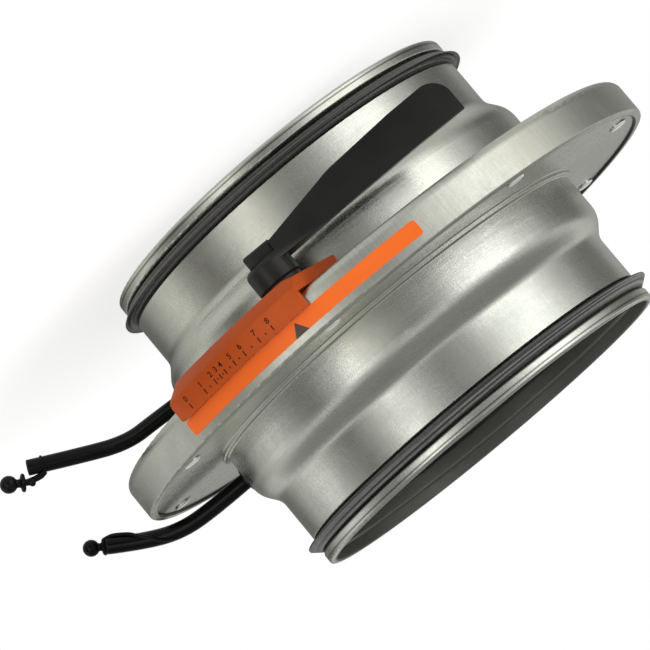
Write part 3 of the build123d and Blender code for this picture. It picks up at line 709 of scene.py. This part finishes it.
tubeLook = {
    "upperRadius": 2.6 * mm,
    "lowerRadius": 2.4 * mm,
    "bore": 1.5 * mm,
    "endEdge": 0.22 * mm,
    "endSharpOver": 55.0,
    "smoothUnder": 40.0,
    "start": 67.45,  # on the nipple, from the duct axis
    # bearing, height of the start and stops, in degrees and mm: see routePoints
    "upperRoute": (100.0, 13.1,
                   [(79.6, 13.1, 0), (93.4, 11.9, 0.9), (105.0, 6.6, 0.6), (114.6, 0.4, -0.6)]),
    "lowerRoute": (68.0, -13.1,
                   [(79.6, -13.1, 0), (91.8, -12.7, -0.9), (105.4, -18.1, -0.4), (119.4, -24.6, 1.4)]),
    "upperLength": 50.1 * mm,
    "lowerLength": 54.4 * mm,
}


def routePoints(bearing, startHeight, stops):
    # each stop: distance from the duct axis, height above the drum's middle and sideways offset, in mm
    outward = bearingPoint(1.0, bearing)
    sideways = Vector((-outward.y, outward.x, 0))
    middle = Vector((0, 0, midHeight))
    points = []
    for distance, height, across in [(tubeLook["start"], startHeight, 0), *stops]:
        points.append(outward * distance * mm + sideways * across * mm + Vector((0, 0, height * mm)) + middle)
    return points


curveLook = {"order": 3, "steps": 14, "roundness": 6}


def nurbsCurve(name, points, radius=0.0):
    data = bpy.data.curves.new(name, "CURVE")
    data.dimensions = "3D"
    spline = data.splines.new("NURBS")
    spline.points.add(len(points) - 1)
    for control, point in zip(spline.points, points):
        control.co = (*point, 1.0)
    spline.order_u = curveLook["order"]
    spline.use_endpoint_u = True
    data.resolution_u = curveLook["steps"]
    data.bevel_depth = radius
    data.bevel_resolution = curveLook["roundness"]
    curve = bpy.data.objects.new(name, data)
    bpy.context.scene.collection.objects.link(curve)
    return curve


def linePoints(curve):
    mesh = bpy.data.meshes.new_from_object(curve)
    points = [vertex.co.copy() for vertex in mesh.vertices]
    bpy.data.meshes.remove(mesh)
    return points


def endFrame(line):
    # frame at the end of a tube: X is its upper side, Z leaves the tube
    outward = (line[-1] - line[-3]).normalized()
    upper = (Vector((0, 0, 1)) - outward * outward.z).normalized()
    place = Matrix((upper, outward.cross(upper), outward)).transposed().to_4x4()
    place.translation = line[-1]
    return place


def hollowTube(name, points, radius):
    guide = nurbsCurve(name + "Line", points)
    line = linePoints(guide)
    bpy.data.objects.remove(guide)
    tube = nurbsCurve(name, points, radius)
    makeActive(tube)
    bpy.ops.object.convert(target="MESH")
    tube = bpy.context.object
    bpy.ops.object.mode_set(mode="EDIT")
    bpy.ops.mesh.select_all(action="SELECT")
    bpy.ops.mesh.remove_doubles(threshold=edgeLook["weld"])
    bpy.ops.mesh.normals_make_consistent(inside=False)
    bpy.ops.object.mode_set(mode="OBJECT")
    wall = tube.modifiers.new("wall", "SOLIDIFY")
    wall.thickness = radius - tubeLook["bore"]
    wall.offset = -1.0
    bpy.ops.object.modifier_apply(modifier="wall")
    edge = tube.modifiers.new("edge", "BEVEL")
    edge.width = tubeLook["endEdge"]
    edge.segments = 2
    edge.limit_method = "ANGLE"
    edge.angle_limit = math.radians(tubeLook["endSharpOver"])
    bpy.ops.object.modifier_apply(modifier="edge")
    bpy.ops.object.shade_smooth_by_angle(angle=math.radians(tubeLook["smoothUnder"]))
    return tube, line


def turnedPiece(rings, sides):
    # a closed round part drawn upwards, ring by ring, from (height, radius) in mm
    height, radius = rings[0]
    bpy.ops.mesh.primitive_circle_add(vertices=sides, radius=radius * mm, fill_type="NGON",
                                      location=(0, 0, height * mm))
    piece = bpy.context.object
    applyPlace(piece)
    bpy.ops.object.mode_set(mode="EDIT")
    bpy.ops.mesh.select_all(action="SELECT")
    for nextHeight, nextRadius in rings[1:]:
        rise = (0, 0, (nextHeight - height) * mm)
        bpy.ops.mesh.extrude_region_move(TRANSFORM_OT_translate={"value": rise})
        share = nextRadius / radius
        bpy.ops.transform.resize(value=(share, share, 1.0), center_override=(0, 0, nextHeight * mm))
        height, radius = nextHeight, nextRadius
    bpy.ops.mesh.select_all(action="SELECT")
    bpy.ops.mesh.normals_make_consistent(inside=False)
    bpy.ops.object.mode_set(mode="OBJECT")
    bpy.ops.object.shade_smooth_by_angle(angle=math.radians(edgeLook["turnedSmoothUnder"]))
    return piece


plugLook = {
    "sides": 28,
    # height and radius of each ring, in mm
    "stem": [(-3.0, 0.7), (-2.75, 1.15), (-2.3, 1.42), (-1.7, 1.36), (-1.25, 1.02), (-0.25, 1.0), (-0.05, 1.1)],
    "collar": [(0.0, 2.2), (0.2, 2.6), (0.55, 2.8), (0.95, 2.72), (1.25, 2.35), (1.4, 1.7)],
    "neck": [(1.6, 1.35), (2.1, 1.22), (2.65, 1.35)],
    "ballRadius": 2.65,
    "ballCentre": 4.85,
    "ballSteps": 10,
    "ballFrom": -55.0,
    "ballStep": 15.8,
    "ballTip": 0.12,
    "bandSetback": 4.4,
    "bandRadius": 0.38 * mm,
    "bandGap": 0.02 * mm,
    "spareReach": 1.6,
    "spareOffset": 4.1,
    "spareTilt": -6.0,
    "spareStrap": [(2.2, 0.5, -4.6), (3.1, 0.4, -3.7), (3.5, 0.2, -2.4), (3.8, 0.0, -1.0), (4.0, 0.0, 0.3),
                   (4.1, 0.0, 1.2)],
    "spareStrapRadius": 0.95 * mm,
    "strapRadius": 0.62 * mm,
    "windStart": (-2.0, 0.4, 0.7),
    # share of the tube's line, angle round it from its upper side and distance from its middle, in mm
    "wind": [(0.99, 176, 3.1), (0.94, 168, 3.1), (0.89, 150, 3.1), (0.84, 128, 3.0), (0.78, 104, 2.9),
             (0.71, 80, 2.8), (0.64, 58, 2.6), (0.57, 40, 2.2)],
}


def plugShape():
    rings = plugLook["stem"] + plugLook["collar"] + plugLook["neck"]
    for step in range(plugLook["ballSteps"]):
        angle = math.radians(plugLook["ballFrom"] + step * plugLook["ballStep"])
        rings.append((plugLook["ballCentre"] + plugLook["ballRadius"] * math.sin(angle),
                      max(plugLook["ballRadius"] * math.cos(angle), plugLook["ballTip"])))
    return turnedPiece(rings, plugLook["sides"])


def bandShape():
    # ring round the tube, drawn as a rounded tyre
    bpy.ops.mesh.primitive_torus_add(major_radius=tubeLook["lowerRadius"] + plugLook["bandGap"],
                                     minor_radius=plugLook["bandRadius"], major_segments=40, minor_segments=12,
                                     location=(0, 0, -plugLook["bandSetback"] * mm))
    band = bpy.context.object
    applyPlace(band)
    bpy.ops.object.shade_smooth()
    return band


def putAt(piece, place):
    piece.matrix_world = place @ piece.matrix_world
    applyPlace(piece)
    return piece


def strapShape(name, points, radius):
    strap = nurbsCurve(name, points, radius)
    strap.data.use_fill_caps = True
    makeActive(strap)
    bpy.ops.object.convert(target="MESH")
    strap = bpy.context.object
    bpy.ops.object.shade_smooth()
    return strap


def lineFrame(line, share):
    index = min(int(share * (len(line) - 1)), len(line) - 2)
    outward = (line[index + 1] - line[index]).normalized()
    upper = (Vector((0, 0, 1)) - outward * outward.z).normalized()
    return line[index], upper, outward.cross(upper)


def millimetres(x, y, z):
    return Vector((x * mm, y * mm, z * mm))


upperRoute = routePoints(*tubeLook["upperRoute"])
lowerRoute = routePoints(*tubeLook["lowerRoute"])
upperTube, upperLine = hollowTube("upperTubeBody", upperRoute, tubeLook["upperRadius"])
lowerTube, lowerLine = hollowTube("lowerTubeBody", lowerRoute, tubeLook["lowerRadius"])

# the fitted plug's strap winds round the last part of the tube
upperEnd = endFrame(upperLine)
windPoints = [upperEnd @ millimetres(*plugLook["windStart"])]
for share, turn, reach in plugLook["wind"]:
    centre, upper, side = lineFrame(upperLine, share)
    turn = math.radians(turn)
    windPoints.append(centre + (upper * math.cos(turn) + side * math.sin(turn)) * reach * mm)
upperPlug = joinPieces([putAt(plugShape(), upperEnd),
                        strapShape("upperStrap", windPoints, plugLook["strapRadius"])])
finishPiece(upperPlug, "upperPlugDetail", tubeRubber, "casing", "tube_rubber", "upper_plug")

# the other plug hangs beside its open tube, on a strap from a band
lowerEnd = endFrame(lowerLine)
sparePlace = lowerEnd @ Matrix.Translation(millimetres(plugLook["spareOffset"], 0, plugLook["spareReach"]))
sparePlace = sparePlace @ Matrix.Rotation(math.radians(plugLook["spareTilt"]), 4, "Y")
strapPoints = [lowerEnd @ millimetres(*point) for point in plugLook["spareStrap"]]
lowerPlug = joinPieces([putAt(plugShape(), sparePlace), putAt(bandShape(), lowerEnd),
                        strapShape("lowerStrap", strapPoints, plugLook["spareStrapRadius"])])
finishPiece(lowerPlug, "lowerPlugDetail", tubeRubber, "casing", "tube_rubber", "lower_plug")

finishPiece(upperTube, "upperTubeBody", tubeRubber, "casing", "tube_rubber", "upper_tube")
finishPiece(lowerTube, "lowerTubeBody", tubeRubber, "casing", "tube_rubber", "lower_tube")
print("measuring tubes ready")

rivetHead = turnedPiece(rivetLook["rings"], rivetLook["sides"])
rivetHeads = []
for index in range(rivetLook["count"]):
    bearing = rivetLook["bearing"] + 360.0 / rivetLook["count"] * index
    head = rivetHead.copy()
    head.data = rivetHead.data.copy()
    bpy.context.scene.collection.objects.link(head)
    head.location = bearingPoint(rivetLook["circle"], bearing, rivetLook["foot"])
    applyPlace(head)
    rivetHeads.append(head)
bpy.data.objects.remove(rivetHead)
finishPiece(joinPieces(rivetHeads), "rivetHeads", headSteel, "casing", "rivet_steel")
print("rivet heads ready")


floorLook = {
    "radius": 3.0,
    "drop": 0.2 * mm,
    "nearTone": 0.32,
    "lift": 0.74,
    "plainTone": 0.8,  # for the rays that light the object
    "shadowFrom": 0.09,
    "clearFrom": 0.34,
}


def emptyMaterial(name):
    material = bpy.data.materials.new(name)
    material.use_nodes = True
    tree = material.node_tree
    tree.nodes.remove(tree.nodes["Principled BSDF"])
    return material, tree, addNode(tree, "ShaderNodeTexCoord").outputs["Object"]


def shaderMix(tree, factor, first, second):
    mix = addNode(tree, "ShaderNodeMixShader")
    for socket, value in zip(mix.inputs, (factor, first.outputs[0], second.outputs[0])):
        tree.links.new(value, socket)
    return mix


def matte(tree, tone):
    shader = addNode(tree, "ShaderNodeBsdfDiffuse")
    shader.inputs["Color"].default_value = (tone, tone, tone, 1)
    return shader


def backgroundRays(tree):
    path = addNode(tree, "ShaderNodeLightPath")
    seen = mathNode(tree, "ADD", path.outputs["Is Camera Ray"], path.outputs["Is Glossy Ray"])
    return mathNode(tree, "ADD", seen, path.outputs["Is Transmission Ray"], clamp=True)


def buildFloor():
    look = floorLook
    bpy.ops.mesh.primitive_circle_add(vertices=128, radius=look["radius"], fill_type="NGON",
                                      location=(0, 0, -look["drop"]))
    floor = bpy.context.object
    floor.name = "floor"
    material, tree, place = emptyMaterial("floorWhite")
    away = useGroup(tree, roundPlaceGroup, Place=place).outputs["Radius"]
    lift = addNode(tree, "ShaderNodeEmission")
    lift.inputs["Strength"].default_value = look["lift"]
    lifted = addNode(tree, "ShaderNodeAddShader")
    tree.links.new(matte(tree, look["nearTone"]).outputs[0], lifted.inputs[0])
    tree.links.new(lift.outputs[0], lifted.inputs[1])
    clear = mapRange(tree, away, look["shadowFrom"], look["clearFrom"])
    seen = shaderMix(tree, clear, lifted, addNode(tree, "ShaderNodeEmission"))
    final = shaderMix(tree, backgroundRays(tree), matte(tree, look["plainTone"]), seen)
    tree.links.new(final.outputs[0], tree.nodes["Material Output"].inputs["Surface"])
    floor.data.materials.append(material)
    floor.visible_glossy = False  # the tent carries the floor's light into reflections


tentLook = {
    "radius": 1.2,
    # bearing and brightness of the panels
    "panels": [(-180, 0.17), (-150, 0.42), (-128, 0.16), (-106, 0.2), (-84, 0.7), (-62, 1.9), (-44, 1.8),
               (-20, 0.42), (0, 0.22), (12, 0.42), (31, 1.75), (46, 0.5), (64, 0.10), (82, 0.42), (98, 0.95),
               (120, 0.5), (145, 0.12), (165, 0.17), (180, 0.17)],
    "wallRise": (-0.34, 0.02, 1.6, 2.4),  # the panels are brighter above the floor
    # heights between which the wall turns into an even tone
    "tones": [(0.22, 0.36, 0.72), (0.5, 0.72, 0.3), (-0.3, -0.8, 0.72)],
    "color": (1.0, 0.995, 0.97, 1),
}


def buildTent():
    # light tent of bright and dark panels round the object, seen only in reflections
    bpy.ops.mesh.primitive_uv_sphere_add(segments=96, ring_count=48, radius=tentLook["radius"])
    tent = bpy.context.object
    tent.name = "lightTent"
    material, tree, place = emptyMaterial("tentPanels")
    split = addNode(tree, "ShaderNodeSeparateXYZ")
    tree.links.new(place, split.inputs[0])
    x, y, z = split.outputs
    bearing = mathNode(tree, "ARCTAN2", x, mathNode(tree, "MULTIPLY", y, -1.0))
    ramp = addNode(tree, "ShaderNodeValToRGB")
    ramp.color_ramp.interpolation = "EASE"
    while len(ramp.color_ramp.elements) < len(tentLook["panels"]):
        ramp.color_ramp.elements.new(0.5)
    for element, (angle, level) in zip(ramp.color_ramp.elements, tentLook["panels"]):
        element.position = (angle + 180.0) / 360.0
        element.color = (level / 2, level / 2, level / 2, 1)  # halved, as a ramp holds 0 to 1
    tree.links.new(mapRange(tree, bearing, -math.pi, math.pi, smooth=False), ramp.inputs[0])
    wall = mathNode(tree, "MULTIPLY", ramp.outputs[0], mapRange(tree, z, *tentLook["wallRise"]))
    for start, end, tone in tentLook["tones"]:
        wall = valueMix(tree, mapRange(tree, z, start, end), wall, tone)
    glow = addNode(tree, "ShaderNodeEmission")
    glow.inputs["Color"].default_value = tentLook["color"]
    tree.links.new(wall, glow.inputs["Strength"])
    tree.links.new(glow.outputs[0], tree.nodes["Material Output"].inputs["Surface"])
    tent.data.materials.append(material)
    tent.visible_camera = False
    tent.visible_diffuse = False
    tent.visible_transmission = False
    tent.visible_shadow = False


worldLook = {"color": (1.0, 0.99, 0.975, 1), "strength": 0.85}


def buildWorld():
    world = bpy.data.worlds.new("studio")
    bpy.context.scene.world = world
    world.use_nodes = True
    tree = world.node_tree
    tree.nodes.clear()
    light = addNode(tree, "ShaderNodeBackground")
    light.inputs["Color"].default_value = worldLook["color"]
    light.inputs["Strength"].default_value = worldLook["strength"]
    white = addNode(tree, "ShaderNodeBackground")
    white.inputs["Color"].default_value = (1, 1, 1, 1)
    mix = shaderMix(tree, backgroundRays(tree), light, white)
    output = addNode(tree, "ShaderNodeOutputWorld")
    tree.links.new(mix.outputs[0], output.inputs["Surface"])


cameraSet = {
    "distance": 1119.4 * mm,
    "elevation": 7.245,
    "roll": 140.245,  # the part is seen tilted and nearly upside down
    "aim": Vector((18.18 * mm, 0.0, midHeight - 6.57 * mm)),
    "lens": 205.6,
}


def buildCamera():
    rise = math.radians(cameraSet["elevation"])
    roll = math.radians(cameraSet["roll"])
    back = Vector((0, -math.cos(rise), math.sin(rise)))
    levelRight = Vector((1, 0, 0))
    levelUp = Vector((0, math.sin(rise), math.cos(rise)))
    right = levelRight * math.cos(roll) + levelUp * math.sin(roll)
    up = levelUp * math.cos(roll) - levelRight * math.sin(roll)
    turn = Matrix((right, up, back)).transposed()
    data = bpy.data.cameras.new("camera")
    data.lens = cameraSet["lens"]
    data.sensor_width = 36.0
    data.clip_end = 20.0
    camera = bpy.data.objects.new("camera", data)
    bpy.context.scene.collection.objects.link(camera)
    camera.matrix_world = Matrix.Translation(cameraSet["aim"] + back * cameraSet["distance"]) @ turn.to_4x4()
    bpy.context.scene.camera = camera


lampLook = {
    "bearing": -40.0,
    "height": 1.1,
    "distance": 1.0,
    "size": (0.9, 0.7),
    "power": 7.0,
}


def buildLamp():
    place = bearingPoint(lampLook["distance"], lampLook["bearing"], lampLook["height"])
    bpy.ops.object.light_add(type="AREA", location=place)
    lamp = bpy.context.object
    lamp.name = "keyLamp"
    lamp.data.shape = "RECTANGLE"
    lamp.data.size, lamp.data.size_y = lampLook["size"]
    lamp.data.energy = lampLook["power"]
    aim = Vector((0, 0, midHeight)) - place
    lamp.rotation_euler = aim.to_track_quat("-Z", "Y").to_euler()
    lamp.visible_camera = False
    lamp.visible_glossy = False


buildFloor()
buildTent()
buildWorld()
buildCamera()
buildLamp()
bpy.context.scene.view_settings.view_transform = "Standard"
print("stage ready")
